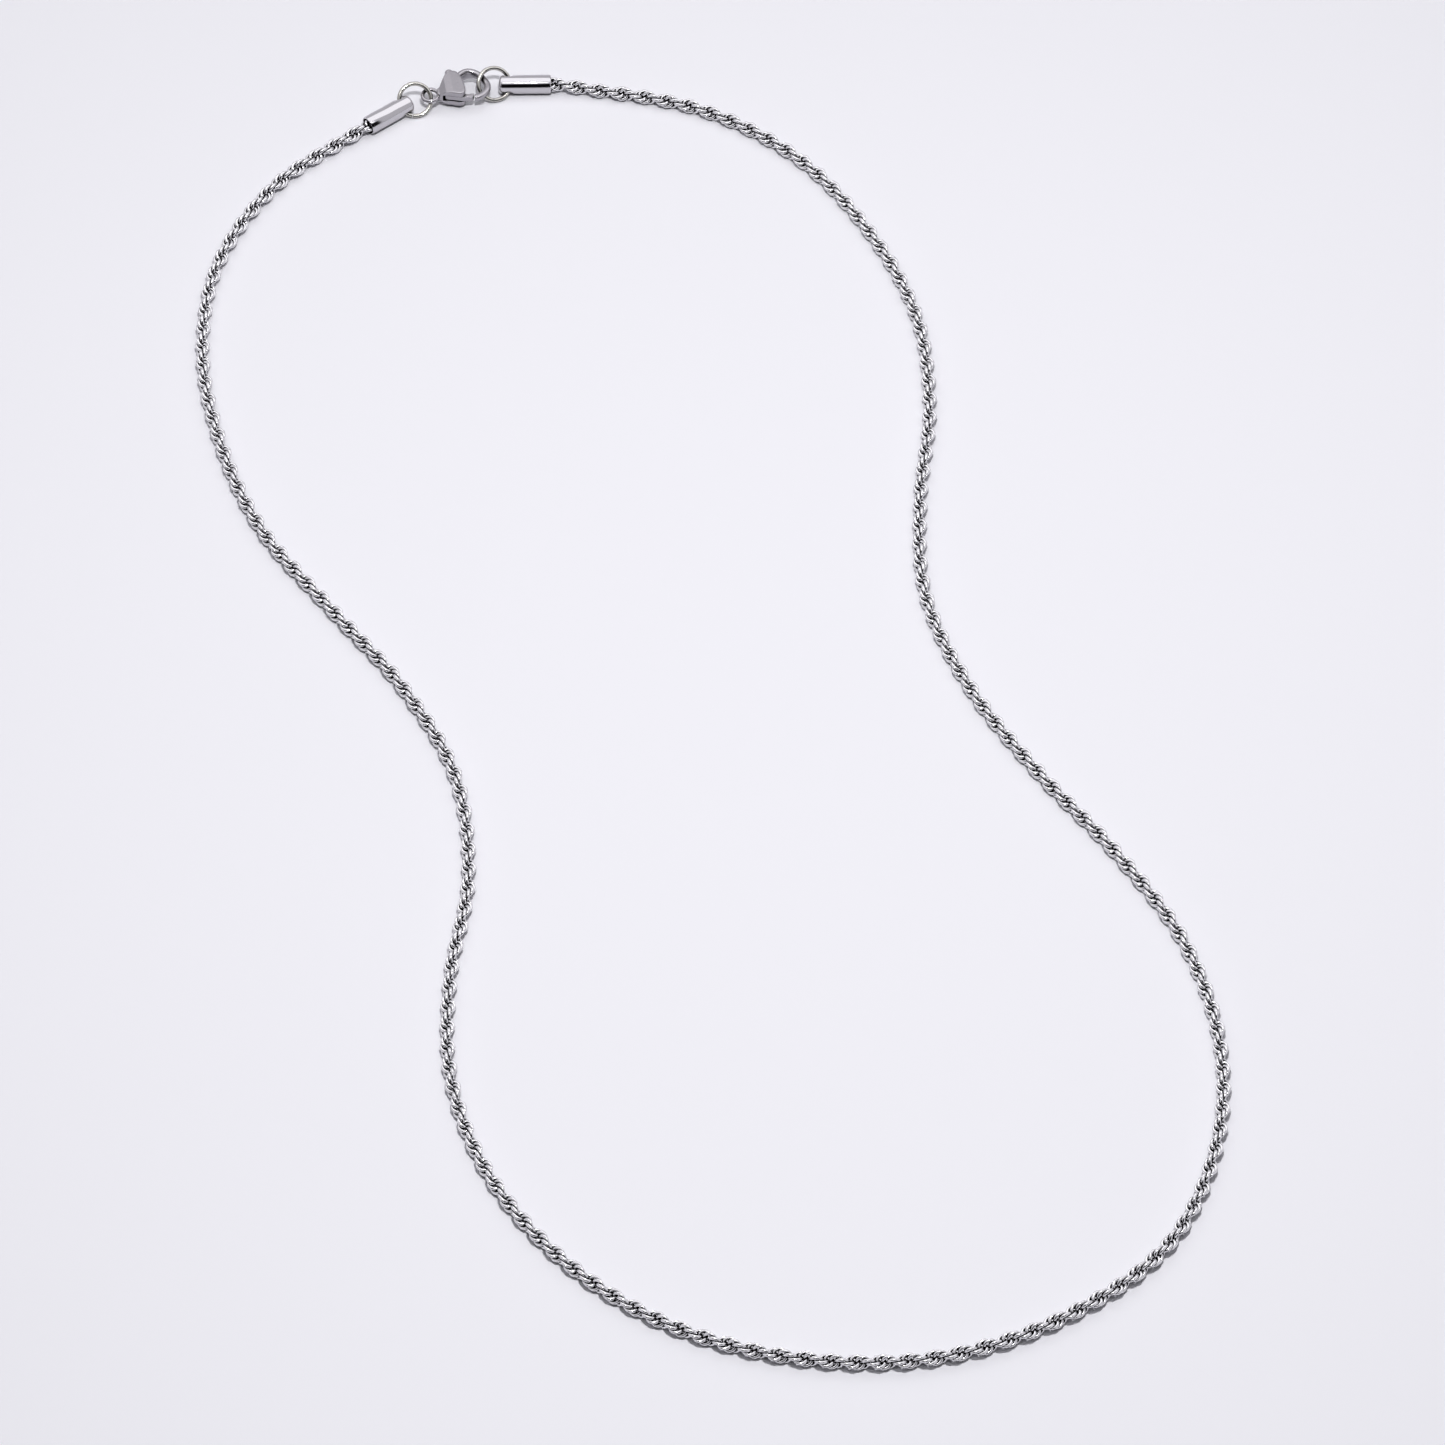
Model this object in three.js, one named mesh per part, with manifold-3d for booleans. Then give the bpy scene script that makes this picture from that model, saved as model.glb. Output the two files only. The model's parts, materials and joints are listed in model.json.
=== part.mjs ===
// A rope chain necklace that lies on a table, closed by a small lobster clasp.
// Millimetres, +Z up. The table is z = 0 and the origin is the middle of the loop on the table.
import * as THREE from "three";
import { mergeVertices } from "three/addons/utils/BufferGeometryUtils.js";
import Module from "manifold-3d";

// Rope chain: round links, each turned a little from the one before it.
const CHAIN_WIDTH = 2.0;
const LINK_WIRE = 0.4;
const LINK_RADIUS = (CHAIN_WIDTH - LINK_WIRE) / 2;
const HALF_TURN = 3.15;
const STEPS_PER_HALF_TURN = 4;
const ROPE_WAIST = 0.9;
const CHAIN_HEIGHT = CHAIN_WIDTH / 2;

// Where two runs of chain meet, the last link of one threads the first link of the next.
const LINK_OFFSET = LINK_RADIUS / 2;
const RUN_END = 0.95;

// Jump rings
const RING_RADIUS = 2.2;
const RING_WIRE = 0.6;
const RING_TILT = 40;
const RING_SPLIT = 0.1;

// End caps
const CAP_DIAMETER = 2.6;
const CAP_LENGTH = 7.1;
const CAP_WALL = 0.2;
const CAP_BORE_DEPTH = 3;
const CAP_HOLE = 1.6;
const CAP_HOLE_INSET = 1.3;
const CAP_HOLE_SHIFT = 0.21;
const CHAIN_IN_CAP = 2.6;

// Lobster clasp: its own frame has the eye at the origin and the hook on the +X side.
const CLASP_EYE = new THREE.Vector3(-36.2, 102.45, 1.85);
const CLASP_HEADING = 10;
const CLASP_THICKNESS = 2.6;
const NECK_THICKNESS = 1.3;
const EYE_TUBE = 0.55;
const EYE_HOLE = 1.64;
const SLOT_HEIGHT = 1.0;
const LEVER_HEIGHT = 0.8;
const HOOK_WIDTH = 0.9;
const HOOK_HEIGHT = 0.9;
const HOOK_SEAT = [6.72, 0.42];
const PIVOT = [3.0, 0.35];
const PIN_DIAMETER = 0.6;
const PIN_FIT = 0.05;

// Headings of the horizontal diameters of the two rings, in degrees
const LEFT_RING_HEADING = 14;
const RIGHT_RING_HEADING = 22;
const LEFT_CAP_HEADING = 218;
const RIGHT_CAP_HEADING = 0.7;

// The way the chain lies on the table, from the left cap round to the right cap
const LAY = [
  [-56.5, 87], [-64, 72.5], [-65.5, 56.5], [-62.5, 40.5], [-56.5, 25.5], [-47, 12], [-37.5, -1],
  [-30.5, -15.5], [-28.5, -32], [-30.5, -48], [-30, -64], [-24.5, -79.5], [-14.5, -92.5],
  [-1.5, -101.5], [14.5, -106], [30.5, -105.5], [45.5, -99.5], [58, -89], [64.5, -74],
  [65.5, -58], [61.5, -42], [53.5, -28], [44, -15], [35.5, -1], [30, 14.5], [29.5, 30.5],
  [31, 47], [29.5, 63], [23.5, 78], [14, 91.5], [1, 100.5], [-14, 104.3],
];

// Spans that swing in pairs: distance along the chain of each, and of the opposite one.
const SPAN_LENGTH = 12;
const SWINGING_SPANS = [
  [28, 303], [52, 326], [80, 370], [106, 350], [130, 403], [157, 430], [178, 453], [198, 478],
  [220, 497],
];
const LEFT_CAP_HINGE = 8;
const LEFT_CAP_OPPOSITE = 270;
const RIGHT_CAP_HINGE = 516;
const RIGHT_CAP_OPPOSITE = 240;

const rad = THREE.MathUtils.degToRad;
const UP = new THREE.Vector3(0, 0, 1);
const wasm = await Module();
wasm.setup();

// Helpers for solids.

function solidOf(geometry) {
  const plain = geometry.clone();
  plain.deleteAttribute("normal");
  plain.deleteAttribute("uv");
  const merged = mergeVertices(plain, 1e-4);
  const corners = merged.index.array;
  const kept = [];
  for (let i = 0; i < corners.length; i += 3) {
    const [a, b, c] = [corners[i], corners[i + 1], corners[i + 2]];
    if (a !== b && b !== c && c !== a) kept.push(a, b, c);
  }
  const solid = new wasm.Manifold(new wasm.Mesh({
    numProp: 3,
    vertProperties: new Float32Array(merged.attributes.position.array),
    triVerts: new Uint32Array(kept),
  }));
  if (solid.volume() <= 0) throw new Error("a form is inside out");
  return solid;
}

function geometryOf(solid) {
  const mesh = solid.getMesh();
  const indexed = new THREE.BufferGeometry();
  indexed.setAttribute("position", new THREE.BufferAttribute(mesh.vertProperties, 3));
  indexed.setIndex(new THREE.BufferAttribute(mesh.triVerts, 1));
  const geometry = indexed.toNonIndexed();
  geometry.computeVertexNormals();
  return geometry;
}

// A solid through a row of sections, each a list of points counter-clockwise about the way along.
function loft(sections) {
  const n = sections[0].length;
  const last = (sections.length - 1) * n;
  const index = [];
  for (let start = 0; start < last; start += n) {
    for (let j = 0; j < n; j += 1) {
      const a = start + j;
      const b = start + ((j + 1) % n);
      index.push(a, b, a + n, b, b + n, a + n);
    }
  }
  for (let j = 2; j < n; j += 1) {
    index.push(0, j, j - 1, last, last + j - 1, last + j);
  }
  const geometry = new THREE.BufferGeometry();
  const position = sections.flat().flatMap((p) => [p.x, p.y, p.z]);
  geometry.setAttribute("position", new THREE.Float32BufferAttribute(position, 3));
  geometry.setIndex(index);
  return geometry;
}

// Points of an ellipse about a centre, in the plane of two directions.
function ellipse(centre, across, up, width, height, count) {
  const points = [];
  for (let i = 0; i < count; i += 1) {
    const a = (2 * Math.PI * (i + 0.5)) / count;
    points.push(centre.clone()
      .addScaledVector(across, (width / 2) * Math.cos(a))
      .addScaledVector(up, (height / 2) * Math.sin(a)));
  }
  return points;
}

function plate(outline, low, high, bevel = 0) {
  const shape = new THREE.Shape(outline.map(([x, y]) => new THREE.Vector2(x, y)));
  const geometry = new THREE.ExtrudeGeometry(shape, {
    depth: high - low - 2 * bevel,
    bevelEnabled: bevel > 0,
    bevelSize: bevel,
    bevelThickness: bevel,
    bevelOffset: -bevel,
    bevelSegments: 2,
    curveSegments: 6,
  });
  return solidOf(geometry.translate(0, 0, low + bevel));
}

function pin(x, y, low, high, diameter, count = 20) {
  const geometry = new THREE.CylinderGeometry(diameter / 2, diameter / 2, high - low, count);
  return solidOf(geometry.rotateX(Math.PI / 2).translate(x, y, (low + high) / 2));
}

function spline(points) {
  return new THREE.CatmullRomCurve3(points.map(([x, y]) => new THREE.Vector3(x, y, 0)));
}

// Metals.

const steel = { color: 0xc9c9ce, roughness: 0.22, metalness: 1 };
const brightSteel = { color: 0xd8d8dc, roughness: 0.12, metalness: 1 };
const satinSteel = { color: 0xb4b1b8, roughness: 0.38, metalness: 1 };
const springSteel = { color: 0x9c9ca2, roughness: 0.3, metalness: 1 };

function part(name, geometry, metal) {
  const mesh = new THREE.Mesh(geometry, new THREE.MeshStandardMaterial(metal));
  mesh.name = name;
  return mesh;
}

// Jump rings: thin round wire, cut once and closed again.

// A ring's own frame has its axis along Z. It is tilted about its horizontal diameter (X) and
// that diameter is turned to its heading.
function jumpRing(name, centre, heading) {
  const split = RING_SPLIT / RING_RADIUS;
  const sections = [];
  const steps = 28;
  for (let i = 0; i <= steps; i += 1) {
    const a = rad(250) + split / 2 + ((2 * Math.PI - split) * i) / steps;
    const out = new THREE.Vector3(Math.cos(a), Math.sin(a), 0);
    const middle = out.clone().multiplyScalar(RING_RADIUS);
    sections.push(ellipse(middle, UP, out, RING_WIRE, RING_WIRE, 8));
  }
  const mesh = part(name, loft(sections).toNonIndexed(), brightSteel);
  mesh.geometry.computeVertexNormals();
  mesh.rotation.set(rad(RING_TILT), 0, rad(heading), "ZYX");
  mesh.position.copy(centre);
  return mesh;
}

// From a ring's centre to its wire, at an angle from the horizontal diameter.
function ringArm(heading, angle) {
  const arm = new THREE.Vector3(Math.cos(rad(angle)), Math.sin(rad(angle)), 0);
  return arm.multiplyScalar(RING_RADIUS)
    .applyAxisAngle(new THREE.Vector3(1, 0, 0), rad(RING_TILT))
    .applyAxisAngle(UP, rad(heading));
}

// Angle below the diameter at which the wire is at the height of the caps' middle
const RING_CENTRE_HEIGHT = RING_RADIUS * Math.sin(rad(RING_TILT)) + RING_WIRE / 2;
function angleAtHeight(z) {
  const rise = (z - RING_CENTRE_HEIGHT) / (RING_RADIUS * Math.sin(rad(RING_TILT)));
  return THREE.MathUtils.radToDeg(Math.asin(rise));
}
const toClasp = angleAtHeight(CLASP_EYE.z);
const toCap = angleAtHeight(CAP_DIAMETER / 2);

function claspPoint([u, v]) {
  return new THREE.Vector3(u, v, 0).applyAxisAngle(UP, rad(CLASP_HEADING)).add(CLASP_EYE);
}
const hookSeat = claspPoint(HOOK_SEAT);
const leftRingCentre = CLASP_EYE.clone().sub(ringArm(LEFT_RING_HEADING, toClasp));
const rightRingCentre = hookSeat.clone().sub(ringArm(RIGHT_RING_HEADING, 180 - toClasp));

// The wire bends as it goes through a cap, so the hole lies a little inside the ring's line.
const toHole = (RING_RADIUS - CAP_HOLE_SHIFT) / RING_RADIUS;
const leftCapHole = leftRingCentre.clone()
  .addScaledVector(ringArm(LEFT_RING_HEADING, 180 - toCap), toHole);
const rightCapHole = rightRingCentre.clone()
  .addScaledVector(ringArm(RIGHT_RING_HEADING, toCap), toHole);
leftCapHole.z = CAP_DIAMETER / 2;
rightCapHole.z = CAP_DIAMETER / 2;

const leftRing = jumpRing("left_jump_ring", leftRingCentre, LEFT_RING_HEADING);
const rightRing = jumpRing("right_jump_ring", rightRingCentre, RIGHT_RING_HEADING);

// End caps.

// A cap's own frame: the middle of the cross hole is the origin and the mouth faces +X.
const capMouth = CAP_LENGTH - CAP_HOLE_INSET;

function endCap(name, hole, heading, ringHeading, ringAngle) {
  const r = CAP_DIAMETER / 2;
  const bore = r - CAP_WALL;
  const floor = capMouth - CAP_BORE_DEPTH;
  const profile = [
    [0, -CAP_HOLE_INSET], [0.8, -CAP_HOLE_INSET], [1.1, -CAP_HOLE_INSET + 0.12],
    [r, -CAP_HOLE_INSET + 0.45], [r, capMouth - 0.2], [r - 0.1, capMouth],
    [bore, capMouth], [bore, floor], [0, floor - 0.5],
  ].map(([x, y]) => new THREE.Vector2(x, y));
  const lathe = new THREE.LatheGeometry(profile, 24, rad(7.5));
  const body = solidOf(lathe.rotateZ(-Math.PI / 2));
  const along = ringArm(ringHeading, ringAngle + 90).normalize();
  along.applyAxisAngle(UP, -rad(heading));
  const drill = new THREE.CylinderGeometry(CAP_HOLE / 2, CAP_HOLE / 2, 5, 20);
  drill.applyQuaternion(new THREE.Quaternion().setFromUnitVectors(new THREE.Vector3(0, 1, 0), along));
  const mesh = part(name, geometryOf(body.subtract(solidOf(drill))), brightSteel);
  mesh.position.copy(hole);
  mesh.rotation.z = rad(heading);
  return mesh;
}

const leftCap = endCap("left_end_cap", leftCapHole, LEFT_CAP_HEADING, LEFT_RING_HEADING, 180 - toCap);
const rightCap = endCap("right_end_cap", rightCapHole, RIGHT_CAP_HEADING, RIGHT_RING_HEADING, toCap);

// Lobster clasp.

const half = CLASP_THICKNESS / 2;
const slotHalf = SLOT_HEIGHT / 2;
const leverHalf = LEVER_HEIGHT / 2;

function claspBody() {
  const outline = [
    [1, -0.5], [1.7, -0.85], [2.7, -1.15], [3.5, -1.42], [3.95, -1.5], [4.35, -1.38],
    [4.62, -1.1], [4.72, -0.7], [4.68, 0.6], [4.85, 1.98], [3.9, 3.02], [3.3, 2.85],
    [2.75, 2.6], [2.3, 2.25], [1.75, 1.5], [1.3, 0.75], [1, 0.45],
  ];
  // Seen from the side, the casting gets thinner toward the neck.
  const neck = NECK_THICKNESS / 2;
  const side = [
    [0.5, -neck], [1.2, -neck], [2.1, -0.2 * neck - 0.8 * half], [3.0, -half], [6, -half],
    [6, half], [3.0, half], [2.1, 0.2 * neck + 0.8 * half], [1.2, neck], [0.5, neck],
  ];
  let body = plate(outline, -half, half, 0.25).intersect(plate(side, -4, 4).rotate([90, 0, 0]));
  const slot = [
    [1.75, 0.5], [1.6, -0.3], [1.6, -2.0], [5.9, -2.0], [5.9, 1.7], [3.9, 1.7], [3.6, 2.1],
    [3.5, 3.5], [0.5, 3.5], [1.8, 1.7],
  ];
  const eye = new THREE.TorusGeometry((EYE_HOLE + EYE_TUBE) / 2, EYE_TUBE / 2, 8, 20);
  body = body.add(solidOf(eye)).add(hookArm());
  body = body.subtract(plate(slot, -slotHalf, slotHalf));
  body = body.subtract(pin(PIVOT[0], PIVOT[1], -2, 2, PIN_DIAMETER + 2 * PIN_FIT));
  return body;
}

// The hook runs from the far side of the body round to a blunt tip that faces the lever.
function hookArm() {
  const middle = spline([
    [3.8, 1.9], [4.6, 2.75], [5.5, 3.08], [6.55, 2.65], [7.45, 1.8], [7.95, 0.68], [7.75, -0.28],
    [7.2, -1.0], [6.7, -1.3], [6.1, -1.38],
  ]);
  const steps = 15;
  const sections = [];
  for (let i = 0; i <= steps; i += 1) {
    const t = i / steps;
    const point = middle.getPointAt(t);
    const across = middle.getTangentAt(t).applyAxisAngle(UP, Math.PI / 2).normalize();
    const taper = THREE.MathUtils.smoothstep(t, 0, 0.45);
    const width = THREE.MathUtils.lerp(1.1, HOOK_WIDTH, taper);
    const height = THREE.MathUtils.lerp(1.5, HOOK_HEIGHT, taper);
    sections.push(ellipse(point, across, UP, width, height, 10));
  }
  return solidOf(loft(sections));
}

// The lever turns on the pin: one arm closes the hook, the other ends in the thumb knob.
function claspLever() {
  const arm = [
    [2.35, 0.0], [2.5, -0.6], [3.2, -1.1], [4.1, -1.42], [4.8, -1.55], [5.6, -1.57], [5.76, -1.3],
    [5.68, -1.05],
    [5.0, -0.95], [4.4, -0.65], [3.7, 0.1], [3.55, 0.7], [3.3, 1.4], [3.2, 3.5], [2.6, 3.5],
    [2.5, 1.4], [2.35, 0.7],
  ];
  let lever = plate(arm, -leverHalf, leverHalf, 0.1);
  const knob = new THREE.SphereGeometry(0.5, 12, 8);
  lever = lever.add(solidOf(knob.scale(1, 0.9, 1.1).translate(2.88, 3.72, 0)));
  return lever.subtract(pin(PIVOT[0], PIVOT[1], -2, 2, PIN_DIAMETER + 2 * PIN_FIT));
}

// A bowed leaf between the far wall of the slot and the arm that closes the hook.
function claspSpring() {
  const middle = spline([
    [3.95, 1.6], [4.35, 1.3], [4.5, 0.8], [4.45, 0.3], [4.28, -0.1], [4.02, -0.02],
  ]);
  const steps = 16;
  const sections = [];
  for (let i = 0; i <= steps; i += 1) {
    const point = middle.getPointAt(i / steps);
    const across = middle.getTangentAt(i / steps).applyAxisAngle(UP, Math.PI / 2).normalize();
    sections.push([[-0.04, -0.3], [0.04, -0.3], [0.04, 0.3], [-0.04, 0.3]].map(([a, b]) =>
      point.clone().addScaledVector(across, a).addScaledVector(UP, b)));
  }
  return solidOf(loft(sections));
}

const clasp = new THREE.Group();
clasp.name = "clasp";
clasp.position.copy(CLASP_EYE);
clasp.rotation.z = rad(CLASP_HEADING);
clasp.add(part("clasp_body", geometryOf(claspBody()), satinSteel));
clasp.add(part("clasp_lever", geometryOf(claspLever()), satinSteel));
clasp.add(part("clasp_spring", geometryOf(claspSpring()), springSteel));
const rivet = pin(PIVOT[0], PIVOT[1], -half + 0.05, half - 0.05, PIN_DIAMETER);
clasp.add(part("clasp_rivet", geometryOf(rivet), steel));

// Chain.

const out = (heading, d) => new THREE.Vector3(Math.cos(rad(heading)), Math.sin(rad(heading)), 0)
  .multiplyScalar(d);
const flat = (p) => new THREE.Vector3(p.x, p.y, 0);
const leftMouth = flat(leftCapHole).add(out(LEFT_CAP_HEADING, capMouth));
const rightMouth = flat(rightCapHole).add(out(RIGHT_CAP_HEADING, capMouth));
const route = new THREE.CatmullRomCurve3([
  leftMouth.clone().add(out(LEFT_CAP_HEADING, -CHAIN_IN_CAP)),
  leftMouth,
  ...LAY.map(([x, y]) => new THREE.Vector3(x, y, 0)),
  rightMouth,
  rightMouth.clone().add(out(RIGHT_CAP_HEADING, -CHAIN_IN_CAP)),
]);
route.arcLengthDivisions = 6000;
const routeLength = route.getLength();
const chainEnd = routeLength - CHAIN_IN_CAP;

// Distances are measured from the mouth of the left cap.
const shareOfRoute = (s) => THREE.MathUtils.clamp((s + CHAIN_IN_CAP) / routeLength, 0, 1);

function chainPoint(s) {
  const point = route.getPointAt(shareOfRoute(s));
  const fromCap = Math.min(s, chainEnd - s);
  const rise = 1 - THREE.MathUtils.smoothstep(fromCap, 0, 7);
  point.z = THREE.MathUtils.lerp(CHAIN_HEIGHT, CAP_DIAMETER / 2, rise);
  return point;
}

function chainFrame(s) {
  const along = route.getTangentAt(shareOfRoute(s));
  const across = new THREE.Vector3(-along.y, along.x, 0);
  return { point: chainPoint(s), along, across };
}

// The rope's outline is a flat six-sided bar that turns half round in each half turn.
function ropeSection(s) {
  const { point, across } = chainFrame(s);
  const turn = (Math.PI * s) / HALF_TURN;
  const r = CHAIN_WIDTH / 2;
  const corners = [
    [r, 0], [r / 2, ROPE_WAIST / 2], [-r / 2, ROPE_WAIST / 2],
    [-r, 0], [-r / 2, -ROPE_WAIST / 2], [r / 2, -ROPE_WAIST / 2],
  ];
  return corners.map(([a, b]) => point.clone()
    .addScaledVector(across, a * Math.cos(turn) - b * Math.sin(turn))
    .addScaledVector(UP, a * Math.sin(turn) + b * Math.cos(turn)));
}

function ropeBody(from, to) {
  const step = HALF_TURN / STEPS_PER_HALF_TURN;
  const stops = [from];
  for (let i = Math.ceil((from + step / 3) / step); i * step < to - step / 3; i += 1) {
    stops.push(i * step);
  }
  stops.push(to);
  return solidOf(loft(stops.map(ropeSection)));
}

// A link is an eight-sided ring of square wire. A standing one rests on its lowest flat.
function link(s, standing) {
  const { point, along, across } = chainFrame(s);
  const halfWire = LINK_WIRE * 0.45;
  const outer = CHAIN_WIDTH / 2;
  const inner = outer - 2 * halfWire;
  const corner = 1 / Math.cos(Math.PI / 8);
  const square = [[inner, -halfWire], [outer, -halfWire], [outer, halfWire], [inner, halfWire]];
  const profile = [...square, square[0]]
    .map(([r, h]) => new THREE.Vector2(r * corner, h));
  const ring = new THREE.LatheGeometry(profile, 8, Math.PI / 8);
  const axis = standing ? across : UP;
  const side = new THREE.Vector3().crossVectors(axis, along);
  ring.rotateX(Math.PI / 2);
  ring.applyMatrix4(new THREE.Matrix4().makeBasis(along, side, axis).setPosition(point));
  return solidOf(ring);
}

// Hinges: the places where a link of one run threads a link of the next

const planDistance = (a, b) => Math.hypot(b.x - a.x, b.y - a.y);
const heading = (a, b) => Math.atan2(b.y - a.y, b.x - a.x);

function bisect(low, high, isLow) {
  for (let i = 0; i < 40; i += 1) {
    const middle = (low + high) / 2;
    if (isLow(middle)) low = middle;
    else high = middle;
  }
  return (low + high) / 2;
}

function spanEnd(start, length) {
  const from = chainPoint(start);
  return bisect(start, start + 1.5 * length, (s) => planDistance(from, chainPoint(s)) < length);
}

// Start of a span as long as length that points the opposite way to a given heading.
function oppositeStart(near, length, away) {
  const lean = (s) => Math.sin(heading(chainPoint(s), chainPoint(spanEnd(s, length))) - away);
  const low = near - 7;
  const high = near + 7;
  const sign = Math.sign(lean(low));
  if (sign === Math.sign(lean(high))) throw new Error("no opposite span near " + near);
  return bisect(low, high, (s) => Math.sign(lean(s)) === sign);
}

const hinges = [];
SWINGING_SPANS.forEach(([start, near], i) => {
  const end = spanEnd(start, SPAN_LENGTH);
  const away = heading(chainPoint(start), chainPoint(end));
  const opposite = oppositeStart(near, SPAN_LENGTH, away);
  hinges.push({ s: start, set: i, turn: 1 }, { s: end, set: i, turn: -1 });
  hinges.push({ s: opposite, set: i, turn: 1 });
  hinges.push({ s: spanEnd(opposite, SPAN_LENGTH), set: i, turn: -1 });
});
const leftReach = planDistance(CLASP_EYE, chainPoint(LEFT_CAP_HINGE));
const leftAway = heading(CLASP_EYE, chainPoint(LEFT_CAP_HINGE));
const leftOpposite = oppositeStart(LEFT_CAP_OPPOSITE, leftReach, leftAway);
hinges.push({ s: LEFT_CAP_HINGE, set: "left", turn: -1 });
hinges.push({ s: leftOpposite, set: "left", turn: 1 });
hinges.push({ s: spanEnd(leftOpposite, leftReach), set: "left", turn: -1 });
const rightReach = planDistance(chainPoint(RIGHT_CAP_HINGE), hookSeat);
const rightAway = heading(chainPoint(RIGHT_CAP_HINGE), hookSeat);
const rightOpposite = oppositeStart(RIGHT_CAP_OPPOSITE, rightReach, rightAway);
hinges.push({ s: rightOpposite, set: "right", turn: 1 });
hinges.push({ s: spanEnd(rightOpposite, rightReach), set: "right", turn: -1 });
hinges.push({ s: RIGHT_CAP_HINGE, set: "right", turn: 1 });
hinges.sort((a, b) => a.s - b.s);

const chain = new THREE.Group();
chain.name = "chain";
for (let i = 0; i <= hinges.length; i += 1) {
  const first = i === 0;
  const last = i === hinges.length;
  const from = first ? -CHAIN_IN_CAP : hinges[i - 1].s + RUN_END;
  const to = last ? chainEnd + CHAIN_IN_CAP : hinges[i].s - RUN_END;
  let run = ropeBody(from, to);
  if (!first) run = run.add(link(hinges[i - 1].s + LINK_OFFSET, true));
  if (!last) run = run.add(link(hinges[i].s - LINK_OFFSET, false));
  const name = "chain_run_" + String(i + 1).padStart(2, "0");
  chain.add(part(name, geometryOf(run), steel));
}

const necklace = new THREE.Group();
necklace.name = "chain_necklace";
necklace.add(clasp, leftRing, rightRing, leftCap, rightCap, chain);
necklace.userData.hinges = hinges.map((h) => ({ ...h, at: chainPoint(h.s).toArray() }));
// A point on the lowest flat of a standing link, where the chain rests on the table
necklace.userData.restPoint = flat(chainPoint(hinges[19].s + LINK_OFFSET)).toArray();
necklace.userData.pivots = {
  eye: CLASP_EYE.toArray(),
  hook: hookSeat.toArray(),
  lever: claspPoint(PIVOT).toArray(),
  leftRing: leftRingCentre.toArray(),
  rightRing: rightRingCentre.toArray(),
};

export default necklace;
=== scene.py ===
# %% [markdown]
# # A rope chain necklace with a lobster clasp
# This lesson dresses a necklace that is already built as plain CAD solids. It is a chain of 843
# small round links wound like a two-strand rope, with a tube cap on each end, a jump ring in
# each cap and a cast lobster clasp between the rings. It lies in a loop on pale paper.
#
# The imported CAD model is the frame. Every piece made here follows one of its bodies, so that it
# moves with the joints, and stands in for the plain CAD node of the same piece. The chain could
# also be one link repeated along a curve by modifiers, but then no part of it could swing by
# itself. The CAD nodes stay where they are. All lengths are in metres.

import json
import math

import bmesh
import bpy
import numpy as np
from mathutils import Matrix, Vector


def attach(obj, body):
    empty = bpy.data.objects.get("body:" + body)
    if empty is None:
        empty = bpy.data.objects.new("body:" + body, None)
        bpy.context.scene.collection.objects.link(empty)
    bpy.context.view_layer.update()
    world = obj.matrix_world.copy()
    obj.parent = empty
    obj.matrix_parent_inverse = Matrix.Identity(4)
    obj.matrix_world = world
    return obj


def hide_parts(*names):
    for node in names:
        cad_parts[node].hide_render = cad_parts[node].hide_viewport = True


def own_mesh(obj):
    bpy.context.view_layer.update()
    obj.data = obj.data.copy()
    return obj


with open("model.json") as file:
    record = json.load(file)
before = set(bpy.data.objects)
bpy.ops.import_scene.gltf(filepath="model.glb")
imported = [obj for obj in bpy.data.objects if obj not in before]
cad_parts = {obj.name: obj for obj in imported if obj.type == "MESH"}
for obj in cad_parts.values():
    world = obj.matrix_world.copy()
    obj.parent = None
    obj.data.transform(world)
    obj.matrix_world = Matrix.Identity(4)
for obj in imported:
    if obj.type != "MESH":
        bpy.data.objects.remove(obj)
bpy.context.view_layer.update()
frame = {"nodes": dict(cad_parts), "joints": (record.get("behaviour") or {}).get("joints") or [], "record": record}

# %% [markdown]
# ## Millimetres and screen colours
# Sizes of jewellery are easier to read in millimetres, so each is a number times MM. Colours are
# picked on a screen, as hex values, while Blender mixes light in linear numbers. One function
# changes the first into the second. Linear numbers could be typed in by hand, but nobody can
# read a colour from them.

# %% Units and colours
MM = 0.001
FULL_CHANNEL = 255
OPAQUE = 1.0


def linear(hex_colour):
    """A screen colour such as #F1F0F6 as a linear colour, by the sRGB curve."""
    channels = [int(hex_colour[i:i + 2], 16) / FULL_CHANNEL for i in (1, 3, 5)]
    light = [c / 12.92 if c <= 0.04045 else ((c + 0.055) / 1.055) ** 2.4 for c in channels]
    return (*light, OPAQUE)


print("half grey on the screen is", round(linear("#808080")[0], 3), "in linear light")

# %% [markdown]
# ## Adding a shader node
# A material is a small network of nodes. It could be clicked together in the shader editor; in
# text it can be read and run again. One helper adds a node. Its settings are options or inputs
# of the node, by name or by number, and its links join inputs to outputs of other nodes.

# %% A helper for shader nodes
def add_node(owner, kind, settings=None, links=None):
    """Adds a node to a material or a world, with its settings and links."""
    node = owner.node_tree.nodes.new(kind)
    for key, value in (settings or {}).items():
        if isinstance(key, int) or key in node.inputs:
            node.inputs[key].default_value = value
        else:
            setattr(node, key, value)
    for key, socket in (links or {}).items():
        owner.node_tree.links.new(socket, node.inputs[key])
    return node


def empty_material(name):
    material = bpy.data.materials.new(name)
    material.use_nodes = True
    material.node_tree.nodes.clear()
    return material

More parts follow.
